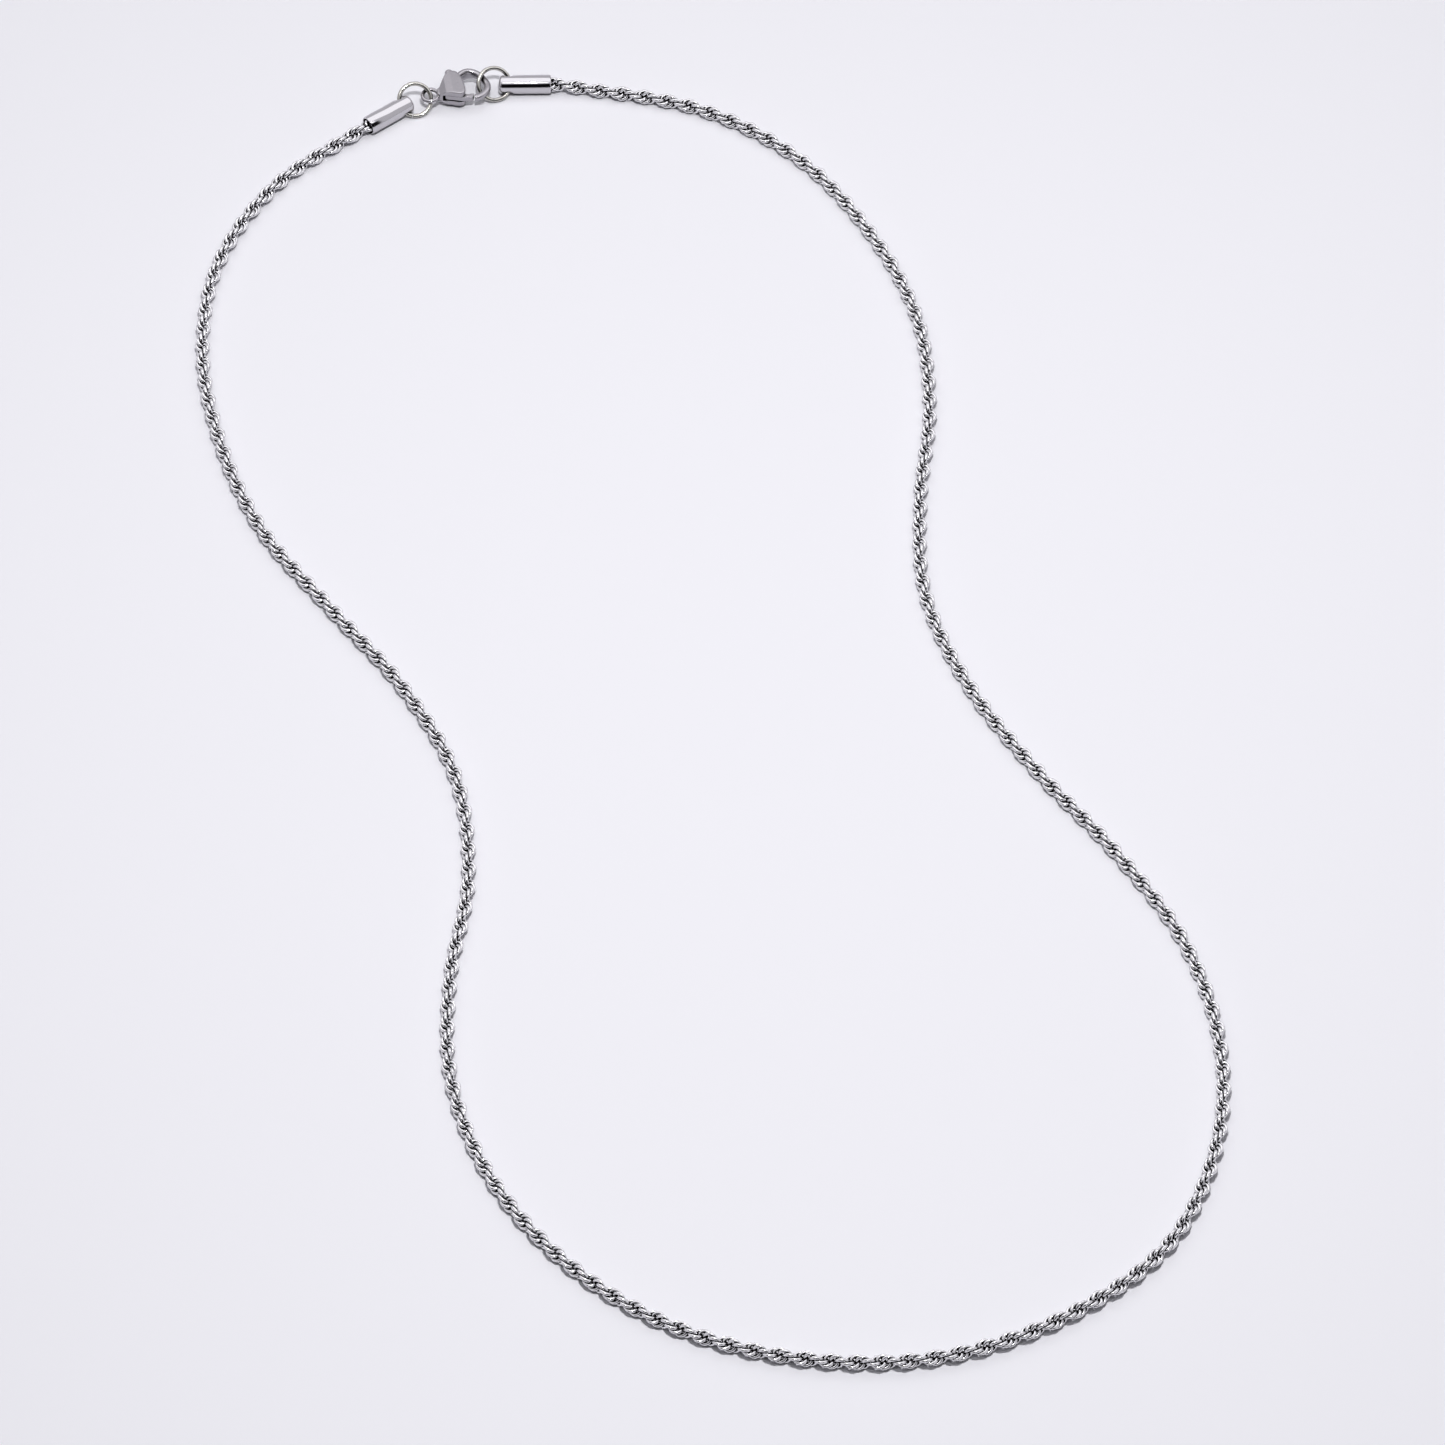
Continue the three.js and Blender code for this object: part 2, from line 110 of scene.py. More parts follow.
# %% [markdown]
# ## Stainless steel
# Every piece of the necklace is stainless steel. The eye knows it as a mirror: bright bands where
# it reflects pale surroundings and black ones where it reflects a dark place. So the base colour
# is plain, metallic is 1, the IOR keeps its default, and the roughness says how a piece was
# finished, about 0.1 when it was polished and 0.2 to 0.35 when it was tumbled or rolled.
#
# A photographed texture could give the marks of polishing, but it would have to be wrapped round
# 843 links. Noise in the object's own space needs no unwrapping. Real polishing marks are some
# thousandths of a millimetre wide, too fine to show, so patches of finer and coarser polish are
# drawn instead, 0.3 to 0.5 mm wide, which is as coarse as they need to be to show.

# %% Patches of finer and coarser polish
NOISE_DETAIL = 4.0


def polish_patches(material, patch):
    """Noise in the object's own space, with patches of about the given width."""
    in_object = add_node(material, "ShaderNodeTexCoord").outputs["Object"]
    noise = add_node(
        material, "ShaderNodeTexNoise", {"Scale": 1 / patch, "Detail": NOISE_DETAIL},
        {"Vector": in_object})
    return noise.outputs["Fac"]

# %% [markdown]
# ## Painted shade in the crevices
# Between the wires of a chain light is mirrored many times and loses a little each time, so
# narrow gaps look nearly black. That shade is painted into the steel's colour. Painting each gap
# one by one would never end, so the Ambient Occlusion node measures how much open sky a spot
# sees, and the colour goes from steel to nearly black with it. It looks for neighbours about as
# far off as a wire is thick, because what stands further away doesn't shut a gap in.

# %% Shade painted into the gaps
PAINTED_SHADE_TINT = "#0C0C0E"
# Below the first share of open sky the painted shade is full, above the second there is none.
SHUT_IN = 0.52
OPEN_TO_SKY = 0.76
SKY_SAMPLES = 8
# Numbers of the colour sockets of a Mix node.
MIX_FROM, MIX_TO, MIX_RESULT = 6, 7, 2


def paint_crevice_shade(material, colour, reach):
    """The steel's colour, with shade painted in where other surfaces stand closer than the reach."""
    open_sky = add_node(
        material, "ShaderNodeAmbientOcclusion", {"Distance": reach, "samples": SKY_SAMPLES})
    unshaded = add_node(
        material, "ShaderNodeMapRange", {"From Min": SHUT_IN, "From Max": OPEN_TO_SKY},
        {"Value": open_sky.outputs["AO"]})
    tint = add_node(
        material, "ShaderNodeMix",
        {"data_type": "RGBA", MIX_FROM: linear(PAINTED_SHADE_TINT), MIX_TO: linear(colour)},
        {0: unshaded.outputs["Result"]})
    return tint.outputs[MIX_RESULT]

# %% [markdown]
# ## One recipe for every steel
# The necklace has five finishes of the same metal. Five materials could be written out, but they
# would soon differ by accident. One recipe takes the colour, the roughness and how much it
# wanders, the width of the patches, and where needed the reach of shade painted into crevices
# and the depth of a low relief.

# %% A steel from its finish
RELIEF_STRENGTH = 0.4


def steel(name, colour, roughness, spread, patch, painted_shade_reach=None, relief=None):
    """Steel whose roughness wanders by the spread, with shade painted into crevices and a low relief."""
    material = empty_material(name)
    patches = polish_patches(material, patch)
    rough = add_node(
        material, "ShaderNodeMapRange",
        {"To Min": roughness - spread, "To Max": roughness + spread}, {"Value": patches})
    fed = {"Roughness": rough.outputs["Result"]}
    if relief:
        dents = add_node(
            material, "ShaderNodeBump", {"Strength": RELIEF_STRENGTH, "Distance": relief},
            {"Height": patches})
        fed["Normal"] = dents.outputs["Normal"]
    # Shade is painted into the base colour where other surfaces close the sky in.
    if painted_shade_reach:
        fed["Base Color"] = paint_crevice_shade(material, colour, painted_shade_reach)
    surface = add_node(
        material, "ShaderNodeBsdfPrincipled", {"Base Color": linear(colour), "Metallic": 1.0}, fed)
    add_node(material, "ShaderNodeOutputMaterial", None, {"Surface": surface.outputs["BSDF"]})
    print(name, "has", len(material.node_tree.nodes), "nodes")
    return material

# %% [markdown]
# ## Where rings, caps and clasp meet
# On the real necklace a jump ring goes through the clasp on one side and through the cross hole
# of a cap on the other. Both hold it up from the table, so it stands at a slant. The pieces
# could be pushed together by eye. Working their places out from the ring's circle keeps the
# wire in the middle of every hole, and gives the same places as in the CAD model.

# %% Sizes that decide where the pieces meet
RING_RADIUS = 2.2 * MM
RING_WIRE = 0.6 * MM
RING_TILT = math.radians(40)
LEFT_RING_HEADING = math.radians(14)
RIGHT_RING_HEADING = math.radians(22)
CAP_WIDTH = 2.6 * MM
# The wire is curved and the cap's hole is straight. Set inward by half of the wire's bow, the
# hole has the same room in its middle and at its rims.
CAP_HOLE_SHIFT = 0.21 * MM
CLASP_EYE = Vector((-36.2, 102.45, 1.85)) * MM
CLASP_HEADING = math.radians(10)
HOOK_SEAT = Vector((6.72, 0.42, 0.0)) * MM


def turn_z(angle):
    return Matrix.Rotation(angle, 4, "Z")


def ring_turn(heading):
    return turn_z(heading) @ Matrix.Rotation(RING_TILT, 4, "X")


def ring_arm(heading, angle):
    """From the centre of a ring to its wire."""
    return ring_turn(heading) @ (Vector((math.cos(angle), math.sin(angle), 0)) * RING_RADIUS)


def angle_at_height(z):
    """How far round a ring, which rests on the table, its wire is at the given height."""
    centre_height = RING_RADIUS * math.sin(RING_TILT) + RING_WIRE / 2
    return math.asin((z - centre_height) / (RING_RADIUS * math.sin(RING_TILT)))

# %% Centres of the rings and of the cap holes
to_clasp = angle_at_height(CLASP_EYE.z)
to_cap = angle_at_height(CAP_WIDTH / 2)
clasp_turn = turn_z(CLASP_HEADING)
hook_seat = CLASP_EYE + clasp_turn @ HOOK_SEAT
left_ring_centre = CLASP_EYE - ring_arm(LEFT_RING_HEADING, to_clasp)
right_ring_centre = hook_seat - ring_arm(RIGHT_RING_HEADING, math.pi - to_clasp)

hole_share = (RING_RADIUS - CAP_HOLE_SHIFT) / RING_RADIUS
left_hole = left_ring_centre + ring_arm(LEFT_RING_HEADING, math.pi - to_cap) * hole_share
right_hole = right_ring_centre + ring_arm(RIGHT_RING_HEADING, to_cap) * hole_share
left_hole.z = CAP_WIDTH / 2
right_hole.z = CAP_WIDTH / 2
print("cap holes, mm", [round(c / MM, 2) for c in (*left_hole, *right_hole)])

# %% [markdown]
# ## The way the chain lies
# The chain was laid down by hand in one loop with a waist. Its route goes from inside the left
# cap, round the table and into the right cap. A cloth or chain simulation could let it fall, but
# would never stop in this very loop, so the route is a smooth curve through a few places that
# the chain passes. Each place is a point on the table in metres.

# %% Places that the chain passes
LAY = [
    (-0.0565, 0.087), (-0.064, 0.0725), (-0.0655, 0.0565), (-0.0625, 0.0405),
    (-0.0565, 0.0255), (-0.047, 0.012), (-0.0375, -0.001), (-0.0305, -0.0155),
    (-0.0285, -0.032), (-0.0305, -0.048), (-0.03, -0.064), (-0.0245, -0.0795),
    (-0.0145, -0.0925), (-0.0015, -0.1015), (0.0145, -0.106), (0.0305, -0.1055),
    (0.0455, -0.0995), (0.058, -0.089), (0.0645, -0.074), (0.0655, -0.058),
    (0.0615, -0.042), (0.0535, -0.028), (0.044, -0.015), (0.0355, -0.001),
    (0.03, 0.0145), (0.0295, 0.0305), (0.031, 0.047), (0.0295, 0.063),
    (0.0235, 0.078), (0.014, 0.0915), (0.001, 0.1005), (-0.014, 0.1043),
]
print("places between the caps", len(LAY))

# %% The route from cap to cap
CHAIN_IN_CAP = 2.6 * MM
CAP_LENGTH = 7.1 * MM
CAP_HOLE_INSET = 1.3 * MM
CAP_MOUTH = CAP_LENGTH - CAP_HOLE_INSET
LEFT_CAP_HEADING = math.radians(218)
RIGHT_CAP_HEADING = math.radians(0.7)


def heading_vector(heading):
    """A step of length 1 on the table in the given direction."""
    return np.array([math.cos(heading), math.sin(heading)])


left_axis = heading_vector(LEFT_CAP_HEADING)
right_axis = heading_vector(RIGHT_CAP_HEADING)
left_mouth = np.array(left_hole.xy) + CAP_MOUTH * left_axis
right_mouth = np.array(right_hole.xy) + CAP_MOUTH * right_axis
stops = np.array([
    left_mouth - CHAIN_IN_CAP * left_axis, left_mouth, *LAY,
    right_mouth, right_mouth - CHAIN_IN_CAP * right_axis,
])
print("places on the route", len(stops))

# %% [markdown]
# ## A smooth curve through points
# A chain under a light pull has no corners. Blender's curves with handles would need a pair of
# them set at every point. This kind of curve, called centripetal, goes through its points by
# itself and never makes a small loop between two close ones.

# %% The curve
def smooth_curve(points, samples):
    """A centripetal curve through the points, sampled evenly within each gap."""
    ends = [2 * points[0] - points[1], *points, 2 * points[-1] - points[-2]]
    line = []
    for before, a, b, after in zip(ends, ends[1:], ends[2:], ends[3:]):
        gaps = [np.linalg.norm(q - p) ** 0.5 for p, q in ((before, a), (a, b), (b, after))]
        leave = (a - before) / gaps[0] - (b - before) / (gaps[0] + gaps[1]) + (b - a) / gaps[1]
        arrive = (b - a) / gaps[1] - (after - a) / (gaps[1] + gaps[2]) + (after - b) / gaps[2]
        leave, arrive = leave * gaps[1], arrive * gaps[1]
        for t in np.arange(samples) / samples:
            line.append(
                a + leave * t + (3 * (b - a) - 2 * leave - arrive) * t ** 2
                + (2 * (a - b) + leave + arrive) * t ** 3)
    line.append(points[-1])
    return np.array(line)

# %% Distances along the route
ROUTE_SAMPLES = 180
route = smooth_curve(stops, ROUTE_SAMPLES)
steps = np.linalg.norm(np.diff(route, axis=0), axis=1)
# A distance is measured from the mouth of the left cap.
distance = np.concatenate([[0], np.cumsum(steps)]) - CHAIN_IN_CAP
chain_end = distance[-1] - CHAIN_IN_CAP
print("chain between the caps, mm", round(chain_end / MM, 2))

# %% [markdown]
# ## The middle of the rope
# The chain rests on the table, so its middle is half its width up, but near a cap it rises to
# the middle of the wider tube. Every link needs three directions: along the chain, level across
# it, and up. A Curve modifier works these out too, but twists them freely; here the across
# direction always stays level, so that the rope's own turn is the only one.

# %% Place and directions at a distance
LINK_WIDTH = 2.0 * MM
CHAIN_HEIGHT = LINK_WIDTH / 2
RISE_LENGTH = 7 * MM
LOOK_AHEAD = 0.1 * MM


def smoothstep(x):
    """From 0 to 1 with a soft start and a soft stop."""
    x = np.clip(x, 0, 1)
    return x * x * (3 - 2 * x)


def chain_frame(s):
    """Middle of the rope, its direction and the level direction to its left."""
    x, y = (np.interp(s, distance, route[:, i]) for i in (0, 1))
    ahead = [np.interp(s + LOOK_AHEAD, distance, route[:, i]) for i in (0, 1)]
    behind = [np.interp(s - LOOK_AHEAD, distance, route[:, i]) for i in (0, 1)]
    along = np.array([ahead[0] - behind[0], ahead[1] - behind[1], 0.0])
    along /= np.linalg.norm(along)
    rise = 1 - smoothstep(min(s, chain_end - s) / RISE_LENGTH)
    height = CHAIN_HEIGHT + (CAP_WIDTH / 2 - CHAIN_HEIGHT) * rise
    return np.array([x, y, height]), along, np.array([-along[1], along[0], 0.0])

# %% [markdown]
# ## Meshes from points
# Links, rings, caps and the hook are all tubes: rows of points, each row joined to the next by
# four-sided faces. Blender's own torus and cylinder would serve for some, but not for the hook or
# a ring with a split, so one helper makes the faces of all of them.

# %% Helpers for meshes
def mesh_object(name, vertices, faces, material):
    """A smooth-shaded object from its points and faces, in one material."""
    mesh = bpy.data.meshes.new(name)
    mesh.from_pydata([tuple(v) for v in vertices], [], [tuple(f) for f in faces])
    mesh.validate()
    mesh.update()
    made = bpy.data.objects.new(name, mesh)
    bpy.context.scene.collection.objects.link(made)
    mesh.materials.append(material)
    mesh.shade_smooth()
    return made


def tube_faces(rows, sides, closed=False):
    """Faces between rows of points, and on both ends unless the tube closes in a ring."""
    faces = [
        (i * sides + j, (i + 1) % rows * sides + j,
         (i + 1) % rows * sides + (j + 1) % sides, i * sides + (j + 1) % sides)
        for i in range(rows if closed else rows - 1) for j in range(sides)
    ]
    if not closed:
        faces += [tuple(range(sides)), tuple(range((rows - 1) * sides, rows * sides))[::-1]]
    return faces

# %% [markdown]
# ## One link
# A link is a short piece of round wire bent into a circle and soldered shut. Its plane holds the
# direction of the chain. Each link is rolled about that direction a fixed step further than the
# one before it, and five of them make half a turn: that is what gives a rope chain its two
# lobes. An Array modifier can repeat and turn a link, but only along one straight or curved
# whole, so the points of every link are worked out here, all from one template.

# %% The template of a link
LINK_WIRE = 0.43 * MM
LINK_STEPS = 28
WIRE_SIDES = 10

ring_angles = 2 * np.pi * np.arange(LINK_STEPS) / LINK_STEPS
wire_angles = 2 * np.pi * np.arange(WIRE_SIDES) / WIRE_SIDES
link_radius = (LINK_WIDTH - LINK_WIRE) / 2
reach = link_radius + LINK_WIRE / 2 * np.cos(wire_angles)
template = np.stack([
    np.outer(np.cos(ring_angles), reach),
    np.outer(np.sin(ring_angles), reach),
    np.tile(LINK_WIRE / 2 * np.sin(wire_angles), (LINK_STEPS, 1)),
], axis=-1).reshape(-1, 3)
template_faces = np.array(tube_faces(LINK_STEPS, WIRE_SIDES, closed=True))
print("points in a link", len(template))

# %% A link at a distance
HALF_TURN = 3.15 * MM
LINKS_PER_HALF_TURN = 5
LINK_PITCH = HALF_TURN / LINKS_PER_HALF_TURN
UP = np.array([0.0, 0.0, 1.0])


def link_vertices(s):
    """The template, rolled by its share of the rope's turn and moved to its place."""
    middle, along, across = chain_frame(s)
    roll = math.pi * s / HALF_TURN
    side = across * math.cos(roll) + UP * math.sin(roll)
    basis = np.stack([along, side, np.cross(along, side)])
    return middle + template @ basis


print("a link every", round(LINK_PITCH / MM, 3), "mm")

# %% [markdown]
# ## The steel of the links
# Drawn stainless wire, polished after the links were closed, in a drum of steel pins. It gives
# small sharp glints on every link, and hardly any colour. A rougher steel with glints painted on
# would be right from one side only, so the roughness is low and every link finds its own.

# %% Polished steel links
# Shade is painted where other wire or the table stands within half a millimetre of a link.
link_steel = steel(
    "polished steel links", "#DCDBDE", roughness=0.10, spread=0.04, patch=0.3 * MM,
    painted_shade_reach=0.5 * MM)

# %% [markdown]
# ## Runs of links
# The real chain bends at every link. The frame has a hinge every 12 mm or so, and its chain is
# cut into runs there. The links could all be one object, but then the chain could not bend, or
# 843 objects, which is slow. So each run's links share one mesh, which rides the run's body. At
# a hinge the last link of one run threads the first link of the next.

# %% Where the runs begin
joints = {j["name"]: j for j in frame["joints"]}
# A hinge sits on the route, so the route's point nearest to it gives its distance.
hinge_places = []
for name in sorted(n for n in joints if n.startswith("link_")):
    anchor = np.array(joints[name]["pos_m"][:2])
    hinge_places.append(distance[np.argmin(np.linalg.norm(route - anchor, axis=1))])
hinge_places = np.sort(hinge_places)
first_link = math.ceil(-CHAIN_IN_CAP / LINK_PITCH)
last_link = math.floor((chain_end + CHAIN_IN_CAP) / LINK_PITCH)
link_places = np.arange(first_link, last_link + 1) * LINK_PITCH
run_of_link = np.searchsorted(hinge_places, link_places)
print("links", len(link_places), "runs", len(hinge_places) + 1)

# %% The links of each run
run_body = {n: b for b, nodes in frame["record"]["behaviour"]["bodies"].items() for n in nodes}
for run in range(len(hinge_places) + 1):
    places = link_places[run_of_link == run]
    vertices = np.concatenate([link_vertices(s) for s in places])
    faces = np.concatenate([template_faces + i * len(template) for i in range(len(places))])
    rope = mesh_object(f"links_{run + 1:02d}", vertices, faces, link_steel)
    node = f"chain_run_{run + 1:02d}"
    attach(rope, run_body[node])
    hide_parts(node)
print("the last run has", len(places), "links")

# %% [markdown]
# ## Solids that are cut and joined
# A cap is turned on a lathe and then drilled, and a casting is cut by tools too. Blender has a
# modifier for each of these jobs. They could stay on the object, but the next cut needs plain
# geometry to work on, so each modifier is settled as soon as it is set.

# %% Helpers for solids
def outward(made):
    """Turns the faces of a closed solid so that all of them look out."""
    shell = bmesh.new()
    shell.from_mesh(made.data)
    bmesh.ops.recalc_face_normals(shell, faces=shell.faces)
    shell.to_mesh(made.data)
    shell.free()
    return made


def settle(made):
    """Turns the modifiers of an object into plain geometry."""
    graph = bpy.context.evaluated_depsgraph_get()
    graph.update()
    shaped = bpy.data.meshes.new_from_object(made.evaluated_get(graph))
    made.modifiers.clear()
    made.data = shaped
    shaped.shade_smooth()
    return made


def combine(made, other, operation):
    """Joins, cuts or keeps what is shared with another closed solid, which is then thrown away."""
    step = made.modifiers.new(operation, "BOOLEAN")
    step.operation = operation
    step.solver = "EXACT"
    step.object = other
    settle(made)
    bpy.data.objects.remove(other)
    return made

# %% Helpers for placing and for edges
def place(made, centre, turn=None):
    """Moves the points of an object from its own frame into the frame of the necklace."""
    made.data.transform(Matrix.Translation(centre) @ (turn or Matrix.Identity(4)))
    return made


def rounded(made, width, segments, angle):
    """Rounds every edge that is sharper than the angle."""
    edge = made.modifiers.new("rounded", "BEVEL")
    edge.width = width
    edge.segments = segments
    edge.angle_limit = math.radians(angle)
    edge.use_clamp_overlap = True
    return settle(made)


def crisp(made, angle):
    """Shades edges sharper than the angle as edges, and everything else as one curve."""
    made.data.set_sharp_from_angle(angle=math.radians(angle))
    return made

# %% [markdown]
# ## The steel of the caps
# A cap is turned from stainless bar and polished on a wheel while it spins, so its roundness is
# a long even mirror, with bright and black bands along it. Anisotropic shading would suit a
# brushed cap. On this one the bands are sharp, so a plain low roughness does.

# %% Polished steel caps
# Shade is painted where the chain, the ring or the table stands within half a millimetre of a cap.
cap_steel = steel(
    "polished steel caps", "#C3C1C5", roughness=0.10, spread=0.02, patch=0.5 * MM,
    painted_shade_reach=0.5 * MM)

# %% [markdown]
# ## The end caps
# A cap is a short tube. One end is open and is crimped over the chain, and the other is closed,
# rounded at its edge and drilled across for the jump ring. A cylinder with a bevel would do for
# the outside, but a profile turned about the axis gives the outside, the mouth and the bore in
# one go. The cross hole is drilled afterwards, in the direction of the wire that goes through.

# %% The profile of a cap
CAP_WALL = 0.2 * MM
CAP_BORE_DEPTH = 3.0 * MM
CAP_HOLE = 1.6 * MM
CAP_ROUND = 0.5 * MM
ROUND_STEPS = 8
HOLE_RIM = CAP_HOLE * 0.75
MOUTH_EDGE_LENGTH = 0.2 * MM
MOUTH_EDGE_DEPTH = 0.08 * MM
DRILL_CONE = 0.5 * MM
CENTRE_FLAT = 0.1 * MM

cap_radius = CAP_WIDTH / 2
bore = cap_radius - CAP_WALL
bore_end = CAP_MOUTH - CAP_BORE_DEPTH
round_end = [
    (cap_radius - CAP_ROUND * (1 - math.sin(a)), -CAP_HOLE_INSET + CAP_ROUND * (1 - math.cos(a)))
    for a in np.linspace(0, math.pi / 2, ROUND_STEPS)
]
# Each point is a radius and a place along the cap, counted from the middle of the cross hole.
cap_profile = [
    (CENTRE_FLAT, -CAP_HOLE_INSET), *round_end, (cap_radius, HOLE_RIM), (cap_radius, CAP_MOUTH / 2),
    (cap_radius, CAP_MOUTH - MOUTH_EDGE_LENGTH), (cap_radius - MOUTH_EDGE_DEPTH, CAP_MOUTH),
    (bore, CAP_MOUTH), (bore, bore_end), (CENTRE_FLAT, bore_end - DRILL_CONE),
]
print("points in the cap's profile", len(cap_profile))

# %% Turning and drilling
DRILL_SIDES = 48


def turned(name, profile, sides, material):
    """A closed solid of revolution about X from (radius, place along X) points."""
    angles = [2 * math.pi * i / sides for i in range(sides)]
    vertices = [(x, r * math.cos(a), r * math.sin(a)) for r, x in profile for a in angles]
    return outward(mesh_object(name, vertices, tube_faces(len(profile), sides), material))


def round_bar(name, width, length, direction, material):
    """A round bar through the origin, used to drill a hole."""
    profile = [(width / 2, -length / 2), (width / 2, length / 2)]
    turn = Vector((1, 0, 0)).rotation_difference(direction).to_matrix().to_4x4()
    return place(turned(name, profile, DRILL_SIDES, material), Vector((0, 0, 0)), turn)

# %% Both caps
CAP_SIDES = 64
DRILL_LENGTH = 5 * MM
HOLE_EDGE = 0.05 * MM


def end_cap(side, hole, heading, ring_heading, ring_angle):
    """A cap with its cross hole at a place, turned along the chain and drilled along the ring."""
    made = turned(f"{side}_shell", cap_profile, CAP_SIDES, cap_steel)
    wire_way = turn_z(-heading) @ ring_arm(ring_heading, ring_angle + math.pi / 2).normalized()
    drill = round_bar("drill", CAP_HOLE, DRILL_LENGTH, wire_way, cap_steel)
    made = rounded(combine(made, drill, "DIFFERENCE"), HOLE_EDGE, segments=2, angle=35)
    place(crisp(made, angle=40), hole, turn_z(heading))
    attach(made, f"{side}_end")
    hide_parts(f"{side}_end_cap")
    print(side, "cap has", len(made.data.polygons), "faces")


end_cap("left", left_hole, LEFT_CAP_HEADING, LEFT_RING_HEADING, math.pi - to_cap)
end_cap("right", right_hole, RIGHT_CAP_HEADING, RIGHT_RING_HEADING, to_cap)

# %% [markdown]
# ## The steel of the jump rings
# Drawn wire again, but polished in the drum for a shorter time, so it is a shade warmer and
# softer than the links. It could share their steel, and then the rings would look too bright
# between the cap and the clasp.

# %% Polished steel rings
# Shade is painted where the cap, the clasp or the table stands within half a millimetre of the wire.
ring_steel = steel(
    "polished steel rings", "#B6B4AF", roughness=0.14, spread=0.03, patch=0.5 * MM,
    painted_shade_reach=0.5 * MM)

# %% [markdown]
# ## The jump rings
# A jump ring is one turn of round wire, cut open and closed again after it was hung in, and the
# cut still shows as a fine line. A torus has no cut, so the ring is a tube that starts on one
# side of the split and stops on the other.

# %% Both rings
RING_SPLIT = 0.1 * MM
SPLIT_AT = math.radians(250)
RING_STEPS = 96
RING_SIDES = 20


def jump_ring(side, centre, heading):
    """A ring of wire with a split, standing at its slant."""
    split = RING_SPLIT / RING_RADIUS
    vertices = []
    for i in range(RING_STEPS + 1):
        a = SPLIT_AT + split / 2 + (2 * math.pi - split) * i / RING_STEPS
        out = Vector((math.cos(a), math.sin(a), 0))
        for j in range(RING_SIDES):
            b = 2 * math.pi * j / RING_SIDES
            wire = out * math.cos(b) + Vector((0, 0, 1)) * math.sin(b)
            vertices.append(out * RING_RADIUS + wire * RING_WIRE / 2)
    made = mesh_object(f"{side}_wire", vertices, tube_faces(RING_STEPS + 1, RING_SIDES), ring_steel)
    place(crisp(made, angle=50), centre, ring_turn(heading))
    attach(made, f"{side}_ring")
    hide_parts(f"{side}_jump_ring")
    print(side, "ring has", len(made.data.polygons), "faces")


jump_ring("left", left_ring_centre, LEFT_RING_HEADING)
jump_ring("right", right_ring_centre, RIGHT_RING_HEADING)

# %% [markdown]
# ## The steel of the clasp
# The clasp is cast and then tumbled with ceramic stones, which rub the skin of the casting
# smooth but not mirror bright. That gives soft wide highlights on a greyer, slightly uneven
# surface. A mirror with a strong relief could look like it from near, but would glitter from
# further off, so roughness does the most and the relief is a hundredth of a millimetre deep.

# %% Tumbled steel clasp
# Shade is painted where other surfaces stand within 0.9 mm, as round the ring's wire in the eye and under the
# plate.
clasp_steel = steel(
    "tumbled steel clasp", "#A4A1A6", roughness=0.23, spread=0.05, patch=0.4 * MM,
    painted_shade_reach=0.9 * MM, relief=0.01 * MM)

# %% [markdown]
# ## Shapes for the casting
# The clasp is one casting: an eye, a leaf-shaped plate and a hook that curls round to meet the
# lever. It could be sculpted, which is quick for a soft form but hard to keep to size. Here its
# parts are drawn as outlines in millimetres, cut and joined as solids, and softened at the end.
# Outlines are counted from the middle of the eye, with X toward the hook and Y toward the knob.

# %% Slabs and rounded outlines
def plate(name, outline, thickness, material):
    """A flat slab with the given outline in millimetres, half of it above the middle."""
    count = len(outline)
    vertices = [(x * MM, y * MM, z) for z in (-thickness / 2, thickness / 2) for x, y in outline]
    faces = [tuple(range(count))[::-1], tuple(range(count, 2 * count))]
    faces += [(i, (i + 1) % count, count + (i + 1) % count, count + i) for i in range(count)]
    return mesh_object(name, vertices, faces, material)


def closed_curve(points, samples=4):
    """Rounds the corners of an outline."""
    points = [np.array(p, float) for p in points]
    count = len(points)
    line = []
    for i in range(count):
        a, b, c, d = (points[(i + k) % count] for k in (-1, 0, 1, 2))
        for t in np.arange(samples) / samples:
            line.append(0.5 * (2 * b + (c - a) * t + (2 * a - 5 * b + 4 * c - d) * t ** 2
                               + (3 * b - 3 * c + d - a) * t ** 3))
    return [tuple(p) for p in line]

# %% [markdown]
# ## The plate of the clasp
# Seen from above the plate is a leaf, and seen from the side it gets thinner toward the neck of
# the eye. A tapered box would need its corners pulled by hand. Drawing the form once from above
# and once from the side, and keeping what both slabs share, gives both outlines at once.

# %% The leaf, thinner at the neck
CLASP_THICKNESS = 2.6 * MM
NECK_THICKNESS = 1.3 * MM
PLATE_ROUND = 0.3 * MM
SIDE_DEPTH = 8 * MM
BODY_OUTLINE = [
    (1, -0.5), (1.7, -0.85), (2.7, -1.12), (3.5, -1.42), (3.95, -1.55), (4.35, -1.42),
    (4.62, -1.1), (4.74, -0.6), (4.74, 0.3), (4.65, 1.1), (4.4, 1.95), (4.05, 2.65),
    (3.5, 2.95), (2.9, 2.9), (2.35, 2.4), (1.7, 1.35), (1.3, 0.65), (1, 0.45),
]

body = plate("clasp_casting", closed_curve(BODY_OUTLINE), CLASP_THICKNESS, clasp_steel)
rounded(body, PLATE_ROUND, segments=5, angle=60)
thin = NECK_THICKNESS / MM / 2
thick = CLASP_THICKNESS / 2 / MM
# Where the flare bends it is four fifths of the way from the thin neck to the full thickness.
flare = 0.2 * thin + 0.8 * thick
above = [(6, thick), (3.0, thick), (2.1, flare), (1.2, thin), (0.5, thin)]
below = [(x, -z) for x, z in reversed(above)]
side = plate("side", below + above, SIDE_DEPTH, clasp_steel)
place(side, Vector((0, 0, 0)), Matrix.Rotation(math.pi / 2, 4, "X"))
combine(body, side, "INTERSECT")
print("plate, mm", [round(size / MM, 2) for size in body.dimensions])

